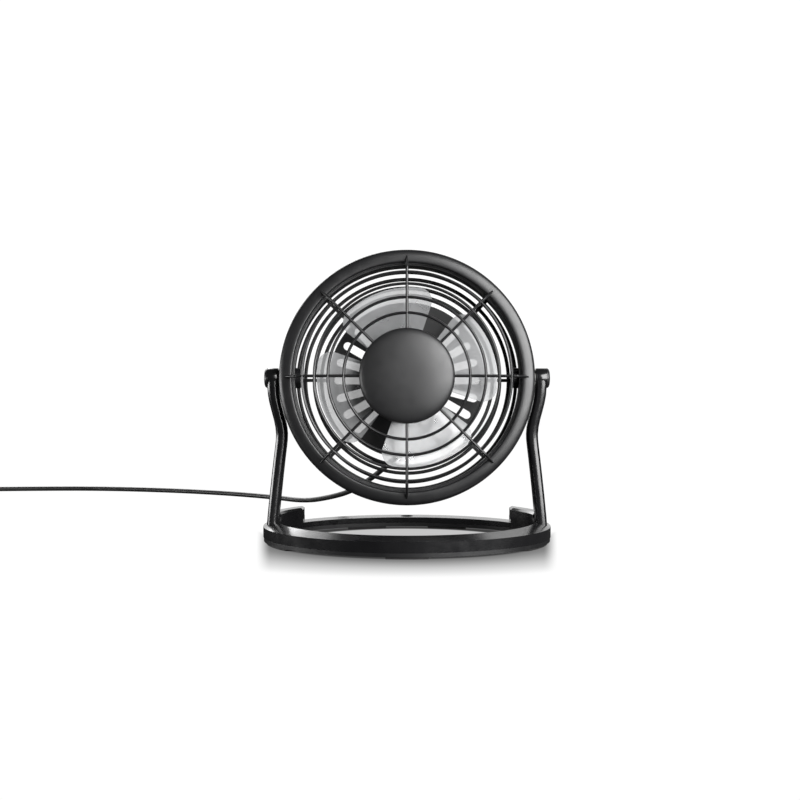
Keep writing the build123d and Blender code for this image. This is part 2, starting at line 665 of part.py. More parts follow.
def commutator():
    y0 = CORE_FRONT_Y + CORE_LENGTH + 1.0
    drum = tube_y(COMMUTATOR_R, SHAFT_R, y0, y0 + 1.1)
    groove = block(COMMUTATOR_R - 0.3, COMMUTATOR_R + 1, y0 - 1, y0 + 2, -0.15, 0.15)
    for k in range(3):
        drum -= around_y(groove, 30.0 + 120.0 * k)
    return drum


def brushes():
    y0 = CORE_FRONT_Y + CORE_LENGTH + 1.0
    leaf = block(COMMUTATOR_R + 0.1, COMMUTATOR_R + 0.5, y0, MOTOR_REAR_Y - END_BELL_THICKNESS, -1.2, 1.2)
    return both_sides(leaf)


def motor_terminals():
    return both_sides(block(5.7, 6.3, MOTOR_REAR_Y - END_BELL_THICKNESS, MOTOR_REAR_Y + 3.0, -1.2, 1.2))


def motor_screws():
    one = Rot(90, 0, 0) * screw(1.9, 0.9, 1.0, 2.6)
    return both_sides(Pos(MOTOR_SCREW_X, MOTOR_FRONT_Y - CUP_FLOOR, 0) * one)


# ---------------------------------------------------------------- rear cover and switch
def rear_cover():
    """The cup behind the disc: it shuts in the motor and holds the switch and the cord."""
    cup = rod_y(COVER_R, DISC_REAR_Y, COVER_REAR_Y)
    cup = fillet(cup.edges().group_by(Axis.Y)[-1], 2.6)
    cup -= rod_y(COVER_R - COVER_WALL, DISC_REAR_Y - 1, COVER_REAR_Y - COVER_WALL)
    post = rod_y(1.9, DISC_REAR_Y, COVER_REAR_Y - 1, cover_screw_x() - 0.6)
    cup += both_sides(post & rod_y(COVER_R - 1, 0, COVER_REAR_Y))
    cup -= both_sides(rod_y(1.0, DISC_REAR_Y - 1, COVER_REAR_Y + 1, cover_screw_x() - 0.6))
    cup -= both_sides(rod_y(1.75, COVER_REAR_Y - 1.8, COVER_REAR_Y + 1, cover_screw_x() - 0.6))
    half_w, half_h = SWITCH_WIDTH / 2 + FIT_GAP, SWITCH_HEIGHT / 2 + FIT_GAP
    cup -= block(-half_w, half_w, COVER_REAR_Y - 5, COVER_REAR_Y + 1, -half_h, half_h)
    return cup - rod_z(2.6, -COVER_R - 2, -COVER_R + 4, 0, RELIEF_Y)


def cover_screws():
    one = Rot(-90, 0, 0) * screw(1.65, 0.9, 0.9, COVER_REAR_Y - DISC_REAR_Y - 1.8)
    return both_sides(Pos(cover_screw_x() - 0.6, COVER_REAR_Y - 1.8, 0) * one)


def switch_body():
    half_w, half_h = SWITCH_WIDTH / 2, SWITCH_HEIGHT / 2
    body = block(-half_w, half_w, SWITCH_FRONT_Y, COVER_REAR_Y, -half_h, half_h)
    flange = block(
        -half_w - FLANGE_MARGIN,
        half_w + FLANGE_MARGIN,
        COVER_REAR_Y,
        COVER_REAR_Y + FLANGE_THICKNESS,
        -half_h - FLANGE_MARGIN,
        half_h + FLANGE_MARGIN,
    )
    flange = fillet(flange.edges().filter_by(Axis.Y), 1.2)
    flange = chamfer(flange.faces().sort_by(Axis.Y)[-1].edges(), 0.4)
    body += flange
    well_w, well_h = ROCKER_HALF_WIDTH + 0.2, ROCKER_HALF_HEIGHT + 0.7
    body -= block(-well_w, well_w, SWITCH_FRONT_Y + 4.2, COVER_REAR_Y + 3, -well_h, well_h)
    return body - rod_x(ROCKER_PIN_R + PIVOT_GAP, -half_w, half_w, ROCKER_PIVOT_Y, 0)


def rocker():
    """The on/off rocker, pressed at its lower end."""
    h, p = ROCKER_HALF_HEIGHT, ROCKER_PIVOT_Y
    outline = make_face(
        [
            Polyline((3.2, p), (h, p + 0.4), (h, p + 5.2)),
            ThreePointArc((h, p + 5.2), (0, p + 4.0), (-h, p + 5.2)),
            Polyline((-h, p + 5.2), (-h, p + 0.4), (-3.2, p)),
            ThreePointArc((-3.2, p), (0, p - 3.2), (3.2, p)),
        ]
    )
    # The outline's first coordinate is along Z and its second along Y.
    key = extrude(outline, ROCKER_HALF_WIDTH, both=True)
    key = fillet(key.edges().filter_by(GeomType.CIRCLE).group_by(Axis.Y)[-1], 0.4)
    key = Rot(0, 90, 0) * key
    key += rod_x(ROCKER_PIN_R, -SWITCH_WIDTH / 2 + 0.1, SWITCH_WIDTH / 2 - 0.1, p, 0)
    return Pos(0, p, 0) * Rot(-ROCKER_THROW, 0, 0) * Pos(0, -p, 0) * key


def switch_terminals():
    blade_y0 = SWITCH_FRONT_Y - 4.0
    tabs = [block(-1.6, 1.6, blade_y0, SWITCH_FRONT_Y, z - 0.3, z + 0.3) for z in (-4.4, 4.4)]
    return group(tabs)


def wire(points, bend):
    path = FilletPolyline(*points, radius=bend)
    start = Plane(origin=points[0], z_dir=path % 0)
    return sweep(start * Circle(0.5), path=path)


def motor_lead():
    """From the motor's right tab to the switch's upper tab."""
    y = MOTOR_REAR_Y + 3.0
    end = (1.6, SWITCH_FRONT_Y - 3.0, 4.4)
    return wire([(6.0, y, 0.6), (6.0, y + 1.2, 2.6), (4.2, y + 1.2, 4.4), end], 0.6)


def return_lead():
    """From the motor's left tab down to the cord's entry."""
    y = MOTOR_REAR_Y + 3.0
    end = (-1.0, RELIEF_Y - 0.4, -14.0)
    return wire([(-6.0, y, -0.6), (-6.6, y + 1.4, -5.0), (-4.0, RELIEF_Y - 2.0, -11.0), end], 1.2)


def supply_lead():
    """From the switch's lower tab down to the cord's entry."""
    y = SWITCH_FRONT_Y
    return wire([(1.6, y - 3.0, -4.4), (4.4, y - 2.6, -7.0), (1.0, RELIEF_Y, -14.0)], 1.2)


def strain_relief():
    """The tapered grommet in the cover's underside, with a collar inside the wall."""
    inner_z = -COVER_R + COVER_WALL
    collar = rod_z(3.4, inner_z - 0.6, inner_z + 0.8)
    neck = rod_z(2.5, -COVER_R, inner_z)
    top = -COVER_R + 0.6
    taper = Pos(0, 0, (RELIEF_TIP_Z + top) / 2) * Rot(180, 0, 0) * Cone(3.4, 2.1, top - RELIEF_TIP_Z)
    piece = collar + neck + taper
    piece -= rod_z(CORD_DIAMETER / 2, RELIEF_TIP_Z - 1, inner_z + 2)
    return Pos(0, RELIEF_Y, 0) * (piece - cover_bore())


def cover_bore():
    """Keeps the grommet clear of the cover's round wall, outside its hole."""
    wall = tube_y(COVER_R, COVER_R - COVER_WALL, -10, 10)
    return wall - rod_z(2.55, -COVER_R - 2, -COVER_R + 4)


# ---------------------------------------------------------------- cord and plug
def corner_radii(points):
    """Each corner's arc takes 0.45 of its shorter run."""
    radii = []
    for a, b, c in zip(points, points[1:], points[2:]):
        first, second = Vector(*b) - Vector(*a), Vector(*c) - Vector(*b)
        half_turn = math.radians(first.get_angle(second)) / 2
        radii.append(0.45 * min(first.length, second.length) / math.tan(half_turn))
    return radii


def tube_along(points):
    radii = corner_radii(points)
    path = FilletPolyline(*points, radius=radii)
    start = Plane(origin=points[0], z_dir=path % 0)
    tube = sweep(start * Circle(CORD_DIAMETER / 2), path=path)
    straight = math.pi * CORD_DIAMETER**2 / 4 * path.length
    print("radii", [round(r, 1) for r in radii], "length", round(path.length, 1))
    print("volume over section x length", round(tube.volume / straight, 4))
    return tube


def cord_tube():
    return tube_along(CORD_ROUTE)


def cord_tail():
    return tube_along(TAIL_ROUTE)


def cord_coil():
    x, y = COIL_CENTRE
    mid = COIL_MID_DIAMETER / 2
    ring = rod_z(mid + COIL_HALF_BAND, COIL_FLOOR_Z, COIL_FLOOR_Z + COIL_HEIGHT)
    ring -= rod_z(mid - COIL_HALF_BAND, 0, COIL_FLOOR_Z + COIL_HEIGHT + 1)
    ring = fillet(ring.edges().filter_by(GeomType.CIRCLE), CORD_DIAMETER * 0.4)
    return Pos(x, y, 0) * ring


def cord_tie():
    """A strap round the coil's band, on its far side."""
    mid = COIL_MID_DIAMETER / 2
    inner_x = math.sqrt((mid - COIL_HALF_BAND) ** 2 - (TIE_WIDTH / 2) ** 2) - FIT_GAP
    outer_x = mid + COIL_HALF_BAND + FIT_GAP
    top = COIL_FLOOR_Z + COIL_HEIGHT + FIT_GAP
    half = TIE_WIDTH / 2
    strap = block(inner_x - TIE_THICKNESS, outer_x + TIE_THICKNESS, -half, half, 0, top + TIE_THICKNESS)
    strap = fillet(strap.edges().filter_by(Axis.Y), 0.6)
    strap -= block(inner_x, outer_x, -TIE_WIDTH, TIE_WIDTH, TIE_THICKNESS, top)
    return Pos(*COIL_CENTRE, 0) * Rot(0, 0, 60) * strap


def plug_frame():
    """The plug lies beside the coil. Its own X runs from the cord to the mouth."""
    x, y, z = TAIL_ROUTE[-1]
    return Pos(x, y + PLUG_RELIEF_LENGTH + PLUG_BODY[0] / 2, z) * Rot(0, 0, 90)


def plug_body():
    length, width, height = PLUG_BODY
    body = Box(length, width, height)
    body = fillet(body.edges().filter_by(Axis.X), 1.6)
    body = chamfer(body.faces().sort_by(Axis.X)[0].edges(), 1.0)
    return plug_frame() * (body - Pos(length / 2 - 3.0, 0, 0) * Box(6.2, PLUG_SHELL[1], PLUG_SHELL[2]))


def plug_relief():
    place = Pos(-(PLUG_BODY[0] + PLUG_RELIEF_LENGTH) / 2, 0, 0) * Rot(0, 90, 0)
    taper = Cone(CORD_DIAMETER / 2 + 0.5, CORD_DIAMETER / 2 + 1.7, PLUG_RELIEF_LENGTH)
    return plug_frame() * place * taper


def plug_shell():
    length, width, height = PLUG_SHELL
    start = PLUG_BODY[0] / 2 - 6.0
    wall = Pos(start + (length + 6.0) / 2, 0, 0) * Box(length + 6.0, width, height)
    hollow = Pos(start + (length + 6.0) / 2 + 1.0, 0, 0) * Box(
        length + 6.0, width - 2 * PLUG_WALL, height - 2 * PLUG_WALL
    )
    shell = wall - hollow
    for y in (-2.9, 2.9):
        shell -= Pos(PLUG_BODY[0] / 2 + 5.6, y, height / 2) * Box(2.2, 2.2, 1.0)
    return plug_frame() * shell


def plug_tongue():
    length, width, height = PLUG_SHELL
    start = PLUG_BODY[0] / 2 - 5.0
    thickness = (height - 2 * PLUG_WALL) / 2
    z = -height / 2 + PLUG_WALL + thickness / 2
    width -= 2 * PLUG_WALL + 0.1
    tongue = Pos(start + (length + 4.0) / 2, 0, z) * Box(length + 4.0, width, thickness - 0.1)
    return plug_frame() * tongue


def plug_contacts():
    length, _, height = PLUG_SHELL
    z = -height / 2 + PLUG_WALL + (height - 2 * PLUG_WALL) / 2 + 0.05
    middle = PLUG_BODY[0] / 2 + length / 2 + 0.4
    made = [Pos(middle, y, z) * Box(length - 3.0, 1.0, 0.2) for y in (-3.5, -1.0, 1.0, 3.5)]
    return plug_frame() * group(made)


# ---------------------------------------------------------------- the whole fan
def stand_nodes():
    right_arm = arm()
    return {
        "base_ring": base_ring(),
        "base_plate": base_plate(),
        "base_screws": base_screws(False),
        "arm_screws": base_screws(True),
        "rubber_pads": rubber_pads(),
        "right_arm": right_arm,
        "left_arm": mirror(right_arm, about=Plane.YZ),
        "pivot_caps": both_sides(pivot_cap()),
    }


def cord_nodes():
    return {
        "cord_tube": cord_tube(),
        "cord_coil": cord_coil(),
        "cord_tie": cord_tie(),
        "cord_tail": cord_tail(),
        "plug_body": plug_body(),
        "plug_relief": plug_relief(),
        "plug_shell": plug_shell(),
        "plug_tongue": plug_tongue(),
        "plug_contacts": plug_contacts(),
    }


def head_nodes():
    return {
        "bezel": bezel(),
        "front_grille": front_grille(),
        "centre_cap": centre_cap(),
        "barrel": barrel(),
        "rear_grille": rear_grille(),
        "pivot_screws": both_sides(pivot_screw()),
        "pivot_washers": both_sides(pivot_washer()),
        "motor_can": motor_can(),
        "motor_end_bell": end_bell(),
        "magnets": magnets(),
        "front_bush": front_bush(),
        "rear_bush": rear_bush(),
        "brushes": brushes(),
        "motor_terminals": motor_terminals(),
        "motor_screws": motor_screws(),
        "rear_cover": rear_cover(),
        "cover_screws": cover_screws(),
        "switch_body": switch_body(),
        "switch_terminals": switch_terminals(),
        "motor_lead": motor_lead(),
        "return_lead": return_lead(),
        "supply_lead": supply_lead(),
        "strain_relief": strain_relief(),
        "impeller": impeller(),
        "shaft": shaft(),
        "armature_core": armature_core(),
        "windings": windings(),
        "commutator": commutator(),
        "rocker": rocker(),
    }


def main():
    os.makedirs("parts", exist_ok=True)
    nodes = {**stand_nodes(), **cord_nodes()}
    for name, shape in head_nodes().items():
        nodes[name] = tilted(shape)
    for name, shape in nodes.items():
        export_step(shape, f"parts/{name}.step")


main()
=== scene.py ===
import json
import math

import bpy
from mathutils import Matrix, Vector


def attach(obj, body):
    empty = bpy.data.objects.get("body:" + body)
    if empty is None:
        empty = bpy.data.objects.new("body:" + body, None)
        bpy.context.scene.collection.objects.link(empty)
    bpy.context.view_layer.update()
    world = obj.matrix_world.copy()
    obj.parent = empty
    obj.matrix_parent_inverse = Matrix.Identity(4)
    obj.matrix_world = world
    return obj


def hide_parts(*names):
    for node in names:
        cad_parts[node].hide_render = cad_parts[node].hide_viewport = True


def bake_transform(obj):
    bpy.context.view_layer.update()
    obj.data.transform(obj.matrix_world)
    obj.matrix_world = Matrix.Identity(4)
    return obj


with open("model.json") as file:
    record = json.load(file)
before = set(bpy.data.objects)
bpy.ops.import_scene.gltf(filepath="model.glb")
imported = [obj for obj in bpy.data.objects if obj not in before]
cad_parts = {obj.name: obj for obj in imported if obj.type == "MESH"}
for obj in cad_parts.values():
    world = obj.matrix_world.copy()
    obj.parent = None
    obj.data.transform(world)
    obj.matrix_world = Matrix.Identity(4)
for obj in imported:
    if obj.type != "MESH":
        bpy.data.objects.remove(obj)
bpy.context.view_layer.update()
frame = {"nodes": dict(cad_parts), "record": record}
nodes = frame["nodes"]

MM = 0.001

PIVOT_Z = 84.0
REST_TILT = 6.0
HEAD = Matrix.Translation((0.0, 0.0, PIVOT_Z * MM)) @ Matrix.Rotation(math.radians(-REST_TILT), 4, "X")

# ---------------------------------------------------------------- camera
CAMERA_DISTANCE = 0.700
CAMERA_HEIGHT = 0.117
CAMERA_PITCH = 3.61
CAMERA_YAW = 0.29
LENS_MM = 61.9
SENSOR_MM = 36.0


def add_camera():
    data = bpy.data.cameras.new("camera")
    data.lens = LENS_MM
    data.sensor_width = SENSOR_MM
    data.clip_start = 0.01
    camera = bpy.data.objects.new("camera", data)
    bpy.context.scene.collection.objects.link(camera)
    camera.location = (0.0, -CAMERA_DISTANCE, CAMERA_HEIGHT)
    camera.rotation_euler = (math.radians(90.0 - CAMERA_PITCH), 0.0, math.radians(CAMERA_YAW))
    bpy.context.scene.camera = camera


add_camera()

# ---------------------------------------------------------------- materials


def new_material(name):
    material = bpy.data.materials.new(name)
    material.use_nodes = True
    tree = material.node_tree
    return material, tree, tree.nodes["Principled BSDF"]


def feed(tree, socket, value):
    """Sets a socket to a number or a triple, or links another node's output to it."""
    if isinstance(value, bpy.types.NodeSocket):
        tree.links.new(value, socket)
    else:
        socket.default_value = value


def number(tree, operation, *values):
    node = tree.nodes.new("ShaderNodeMath")
    node.operation = operation
    for socket, value in zip(node.inputs, values):
        feed(tree, socket, value)
    return node.outputs["Value"]


def scaled(tree, vector, factors):
    node = tree.nodes.new("ShaderNodeVectorMath")
    node.operation = "MULTIPLY"
    node.inputs[1].default_value = factors
    tree.links.new(vector, node.inputs[0])
    return node.outputs["Vector"]


def length_of(tree, vector):
    node = tree.nodes.new("ShaderNodeVectorMath")
    node.operation = "LENGTH"
    tree.links.new(vector, node.inputs[0])
    return node.outputs["Value"]


def object_place(tree):
    return tree.nodes.new("ShaderNodeTexCoord").outputs["Object"]


def noise(tree, scale, detail=4.0, roughness=0.55):
    grain = tree.nodes.new("ShaderNodeTexNoise")
    grain.inputs["Scale"].default_value = scale
    grain.inputs["Detail"].default_value = detail
    grain.inputs["Roughness"].default_value = roughness
    tree.links.new(object_place(tree), grain.inputs["Vector"])
    return grain.outputs["Fac"]


def tinted(tree, source, dark, light, start=0.35, end=0.65):
    """Turns a 0 to 1 value into a colour between dark and light."""
    node = tree.nodes.new("ShaderNodeValToRGB")
    for stop, position, colour in zip(node.color_ramp.elements, (start, end), (dark, light)):
        stop.position = position
        stop.color = (*colour, 1.0)
    tree.links.new(source, node.inputs["Fac"])
    return node.outputs["Color"]


def spread(tree, source, low, high, start=0.3, end=0.7, interpolation="LINEAR"):
    """Turns a value between start and end into a number between low and high."""
    node = tree.nodes.new("ShaderNodeMapRange")
    node.interpolation_type = interpolation
    node.inputs["From Min"].default_value = start
    node.inputs["From Max"].default_value = end
    node.inputs["To Min"].default_value = low
    node.inputs["To Max"].default_value = high
    tree.links.new(source, node.inputs["Value"])
    return node.outputs["Result"]


def add_bump(tree, shader, source, strength, distance):
    bump = tree.nodes.new("ShaderNodeBump")
    bump.inputs["Strength"].default_value = strength
    bump.inputs["Distance"].default_value = distance
    tree.links.new(source, bump.inputs["Height"])
    tree.links.new(bump.outputs["Normal"], shader.inputs["Normal"])


FLOW_SCALE = 35.0
POLISH_SCALE = 160.0
GRAIN_STRENGTH = 0.12


def moulded_plastic(name, dark, light, polish, grain, grain_depth, coat=0.0):
    """Injection-moulded plastic: a faint flow mottle, uneven polish and a fine texture.

    polish is the least and the most roughness, and grain is how fine the texture is."""
    material, tree, shader = new_material(name)
    flow = noise(tree, FLOW_SCALE, 3.0)
    tree.links.new(tinted(tree, flow, dark, light), shader.inputs["Base Color"])
    wear = noise(tree, POLISH_SCALE, 5.0, 0.65)
    tree.links.new(spread(tree, wear, *polish), shader.inputs["Roughness"])
    add_bump(tree, shader, noise(tree, grain, 2.0), GRAIN_STRENGTH, grain_depth)
    shader.inputs["IOR"].default_value = 1.5
    shader.inputs["Coat Weight"].default_value = coat
    shader.inputs["Coat Roughness"].default_value = 0.12
    return material


def metal(name, dark, light, polish, grain):
    material, tree, shader = new_material(name)
    streaks = noise(tree, grain, 6.0, 0.7)
    tree.links.new(tinted(tree, streaks, dark, light), shader.inputs["Base Color"])
    tree.links.new(spread(tree, streaks, *polish), shader.inputs["Roughness"])
    shader.inputs["Metallic"].default_value = 1.0
    add_bump(tree, shader, streaks, 0.2, 0.00003)
    return material


def upright(tree):
    """Where the surface is, measured from the head's own pivot and axis."""
    turn = tree.nodes.new("ShaderNodeMapping")
    turn.vector_type = "TEXTURE"
    turn.inputs["Location"].default_value = (0.0, 0.0, PIVOT_Z * MM)
    turn.inputs["Rotation"].default_value = (math.radians(-REST_TILT), 0.0, 0.0)
    tree.links.new(object_place(tree), turn.inputs["Vector"])
    return turn.outputs["Vector"]


def axis_distance(tree, place):
    return length_of(tree, scaled(tree, place, (1.0, 0.0, 1.0)))


BARREL_INSIDE_R = 59.0
BARREL_OUTSIDE_R = 59.6


def moulded_barrel():
    """Satin plastic with the fine turned rings that run round the barrel's inner wall."""
    material = moulded_plastic(
        "turned_black_plastic",
        dark=(0.006, 0.006, 0.007),
        light=(0.010, 0.010, 0.011),
        polish=(0.26, 0.36),
        grain=2600.0,
        grain_depth=0.00003,
    )
    tree = material.node_tree
    place = upright(tree)
    rings = tree.nodes.new("ShaderNodeTexWave")
    rings.bands_direction = "Y"
    rings.inputs["Scale"].default_value = 95.0
    rings.inputs["Distortion"].default_value = 0.0
    tree.links.new(place, rings.inputs["Vector"])
    reach = axis_distance(tree, place)
    inside = spread(tree, reach, 1.0, 0.0, BARREL_INSIDE_R * MM, BARREL_OUTSIDE_R * MM)
    grooves = number(tree, "MULTIPLY", rings.outputs["Fac"], inside)
    add_bump(tree, tree.nodes["Principled BSDF"], grooves, 0.8, 0.0006)
    return material


# where the painted rim highlight on the blades begins and ends
RIM_HIGHLIGHT_START_R = 43.5
RIM_HIGHLIGHT_END_R = 45.0


def smoke_plastic():
    """Clear smoke-tinted blade plastic: slight haze and flow lines, more opaque towards the tips as a
    painted rim highlight.
    """
    material, tree, shader = new_material("smoke_blade_plastic")
    haze = noise(tree, 60.0, 3.0)
    tint = tinted(tree, haze, (0.40, 0.405, 0.41), (0.49, 0.495, 0.50))
    tree.links.new(tint, shader.inputs["Base Color"])
    tree.links.new(spread(tree, haze, 0.10, 0.18), shader.inputs["Roughness"])
    shader.inputs["IOR"].default_value = 1.46
    reach = axis_distance(tree, upright(tree))
    # painted rim highlight: the blade grows more opaque towards its tips
    cover = spread(tree, reach, 0.46, 0.66, RIM_HIGHLIGHT_START_R * MM, RIM_HIGHLIGHT_END_R * MM)
    tree.links.new(cover, shader.inputs["Alpha"])
    add_bump(tree, shader, haze, 0.15, 0.0002)
    return material


SATIN_BLACK = moulded_plastic(
    "satin_black_plastic",
    dark=(0.006, 0.006, 0.0065),
    light=(0.010, 0.010, 0.0105),
    polish=(0.30, 0.38),
    grain=2600.0,
    grain_depth=0.00004,
)
GLOSS_BLACK = moulded_plastic(
    "gloss_black_plastic",
    dark=(0.004, 0.004, 0.0045),
    light=(0.007, 0.007, 0.0075),
    polish=(0.17, 0.25),
    grain=1800.0,
    grain_depth=0.00002,
    coat=0.2,
)
FROSTED_BLACK = moulded_plastic(
    "frosted_black_plastic",
    dark=(0.008, 0.008, 0.0085),
    light=(0.012, 0.012, 0.0125),
    polish=(0.36, 0.44),
    grain=3200.0,
    grain_depth=0.00004,
)
RUBBER = moulded_plastic(
    "pad_rubber",
    dark=(0.006, 0.006, 0.006),
    light=(0.012, 0.011, 0.011),
    polish=(0.65, 0.85),
    grain=2200.0,
    grain_depth=0.00006,
)
JACKET = moulded_plastic(
    "cord_jacket_vinyl",
    dark=(0.008, 0.008, 0.008),
    light=(0.014, 0.014, 0.014),
    polish=(0.36, 0.48),
    grain=2400.0,
    grain_depth=0.00003,
)
WHITE_NYLON = moulded_plastic(
    "white_nylon",
    dark=(0.70, 0.69, 0.65),
    light=(0.80, 0.79, 0.76),
    polish=(0.40, 0.55),
    grain=1800.0,
    grain_depth=0.00004,
)
RED_LEAD = moulded_plastic(
    "red_lead_vinyl",
    dark=(0.42, 0.01, 0.01),
    light=(0.55, 0.02, 0.02),
    polish=(0.35, 0.5),
    grain=1800.0,
    grain_depth=0.00003,
)
FERRITE = moulded_plastic(
    "ferrite",
    dark=(0.05, 0.05, 0.052),
    light=(0.08, 0.08, 0.082),
    polish=(0.6, 0.8),
    grain=1500.0,
    grain_depth=0.00006,
)
ZINC = metal("zinc_plate", (0.50, 0.50, 0.52), (0.66, 0.66, 0.68), (0.28, 0.42), 900.0)
NICKEL = metal("bright_nickel", (0.70, 0.69, 0.67), (0.82, 0.81, 0.79), (0.12, 0.22), 700.0)
BRONZE = metal("sintered_bronze", (0.42, 0.27, 0.12), (0.56, 0.37, 0.18), (0.35, 0.55), 1500.0)
GOLD = metal("gold_flash", (0.80, 0.58, 0.22), (0.90, 0.68, 0.30), (0.15, 0.25), 700.0)
COPPER = metal("enamelled_copper", (0.45, 0.16, 0.06), (0.62, 0.25, 0.10), (0.25, 0.40), 1800.0)
SMOKE = smoke_plastic()
TURNED_BLACK = moulded_barrel()

FINISH_OF_SLOT = {
    "black_satin": SATIN_BLACK,
    "black_gloss": GLOSS_BLACK,
    "smoke_blade": SMOKE,
    "rubber": RUBBER,
    "cord_jacket": JACKET,
    "zinc_steel": ZINC,
    "plated_steel": NICKEL,
    "bronze": BRONZE,
    "gold_contact": GOLD,
    "ferrite": FERRITE,
    "copper_wire": COPPER,
    "white_nylon": WHITE_NYLON,
    "red_lead": RED_LEAD,
}


def dress(piece, material):
    piece.data.materials.clear()
    piece.data.materials.append(material)


for part in frame["record"]["subparts"]:
    dress(nodes[part["node"]], FINISH_OF_SLOT[part["material_slot"]])
    nodes[part["node"]].data.shade_smooth()
dress(nodes["barrel"], TURNED_BLACK)

SHARP_DEGREES = 28.0
EDGE_WIDTHS = {
    "base_ring": 0.45,
    "base_plate": 0.3,
    "rear_grille": 0.3,
    "rear_cover": 0.3,
    "barrel": 0.25,
    "impeller": 0.25,
    "switch_body": 0.25,
    "rocker": 0.4,
    "cord_tie": 0.25,
    "plug_shell": 0.1,
    "rubber_pads": 0.2,
}


def soften(node, width):
    """Rounds a CAD piece's sharp edges, as the mould leaves them."""
    bevel = nodes[node].modifiers.new("rounded_edges", "BEVEL")
    bevel.width = width * MM
    bevel.segments = 3
    bevel.limit_method = "ANGLE"
    bevel.angle_limit = math.radians(SHARP_DEGREES)
    bevel.use_clamp_overlap = True
    bevel.harden_normals = True


for softened, edge_width in EDGE_WIDTHS.items():
    soften(softened, edge_width)

# ---------------------------------------------------------------- cord
CORD_DIAMETER = 3.0
CORD_ROUTE = [
    (-0.5, 28.2, 56.6),
    (-1.0, 27.6, 49.0),
    (-4.2, 31.0, 42.0),
    (-10.6, 39.2, 35.0),
    (-20.0, 54.0, 25.8),
    (-31.0, 74.5, 16.6),
    (-44.0, 103.5, 9.2),
    (-62.0, 134.0, 2.4),
    (-83.0, 158.5, 1.6),
    (-118.0, 178.5, 1.6),
    (-160.0, 193.0, 1.6),
    (-205.0, 201.0, 1.6),
    (-248.0, 199.5, 1.6),
    (-290.0, 190.0, 2.3),
]
TAIL_ROUTE = [
    (-303.5, 187.4, 4.4),
    (-317.0, 191.5, 4.0),
    (-325.0, 203.5, 3.8),
    (-325.6, 215.0, 3.8),
]
COIL_CENTRE = (-294.3, 209.0)
COIL_RADII = (19.5, 16.5, 13.5)
COIL_BOTTOM_Z = 2.3
COIL_TOP_Z = 5.3
COIL_STEPS = 18
COIL_TURNS = 6.05
# how much of a turn a step sideways or up to the next turn takes
COIL_STEP_SHARE = 0.15


def ease(value, start, end):
    """0 before start, 1 after end, and smooth between."""
    t = min(max((value - start) / (end - start), 0.0), 1.0)
    return t * t * (3.0 - 2.0 * t)


def stepped(turn, end):
    """How far the cord has stepped over to the turn that begins at end."""
    return ease(turn, end - COIL_STEP_SHARE, end)


def coil_radius(turn):
    outer, middle, inner = COIL_RADII
    radius = outer - (outer - middle) * stepped(turn, 1.0) - (middle - inner) * stepped(turn, 2.0)
    radius += (middle - inner) * stepped(turn, 4.0) + (outer - middle) * stepped(turn, 5.0)
    return radius + CORD_DIAMETER * stepped(turn, 6.0)


def coil_points():
    """Six turns clockwise: in along the bottom layer, up, and out along the top."""
    centre_x, centre_y = COIL_CENTRE
    entry = math.atan2(CORD_ROUTE[-1][1] - centre_y, CORD_ROUTE[-1][0] - centre_x)
    # the spline runs a little inside its points
    outside = math.cos(math.pi / COIL_STEPS) ** -0.5
    points = []
    for step in range(1, int(COIL_TURNS * COIL_STEPS)):
        turn = step / COIL_STEPS
        angle = entry - 2.0 * math.pi * turn
        radius = coil_radius(turn) * outside
        height = COIL_BOTTOM_Z + (COIL_TOP_Z - COIL_BOTTOM_Z) * stepped(turn, 3.0)
        points.append((centre_x + radius * math.cos(angle), centre_y + radius * math.sin(angle), height))
    return points


def in_metres(place):
    return tuple(c * MM for c in place)


def cord_curve(name, points, bevel):
    data = bpy.data.curves.new(name, "CURVE")
    data.dimensions = "3D"
    spline = data.splines.new("NURBS")
    spline.points.add(len(points) - 1)
    for point, place in zip(spline.points, points):
        point.co = (*in_metres(place), 1.0)
    spline.order_u = 3
    spline.use_endpoint_u = True
    spline.resolution_u = 6
    data.bevel_depth = bevel
    data.bevel_resolution = 3
    data.use_fill_caps = True
    piece = bpy.data.objects.new(name, data)
    bpy.context.scene.collection.objects.link(piece)
    return piece


def mesh_of(piece):
    bpy.context.view_layer.update()
    evaluated = piece.evaluated_get(bpy.context.evaluated_depsgraph_get())
    return bpy.data.meshes.new_from_object(evaluated)


def make_cord(plug_pieces):
    points = CORD_ROUTE + coil_points() + TAIL_ROUTE
    line = cord_curve("cord_line", points, 0.0)
    centre = [tuple(v.co) for v in mesh_of(line).vertices]
    bpy.data.objects.remove(line)
    curve = cord_curve("cord_curve", points, CORD_DIAMETER * MM / 2)
    tube = bpy.data.objects.new("power_cord", mesh_of(curve))
    bpy.context.scene.collection.objects.link(tube)
    bpy.data.objects.remove(curve)
    tube.data.shade_smooth()
    dress(tube, JACKET)
    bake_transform(tube)
    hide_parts("cord_tube", "cord_coil", "cord_tail")


# ---------------------------------------------------------------- modelling helpers
DOUBLES_APART = 1e-6
CREASE_DEGREES = 35.0


def start_edit():
    bpy.ops.object.mode_set(mode="EDIT")
    bpy.ops.mesh.select_all(action="SELECT")


def end_edit(piece, frame_matrix):
    """Closes the modelling of a piece and lays it down in the shared frame."""
    bpy.ops.mesh.select_all(action="SELECT")
    bpy.ops.mesh.remove_doubles(threshold=DOUBLES_APART)
    bpy.ops.mesh.normals_make_consistent(inside=False)
    bpy.ops.object.mode_set(mode="OBJECT")
    piece.matrix_world = frame_matrix @ piece.matrix_world
    bpy.ops.object.transform_apply(location=True, rotation=True, scale=True)
    bpy.ops.object.shade_smooth_by_angle(angle=math.radians(CREASE_DEGREES))
    return piece


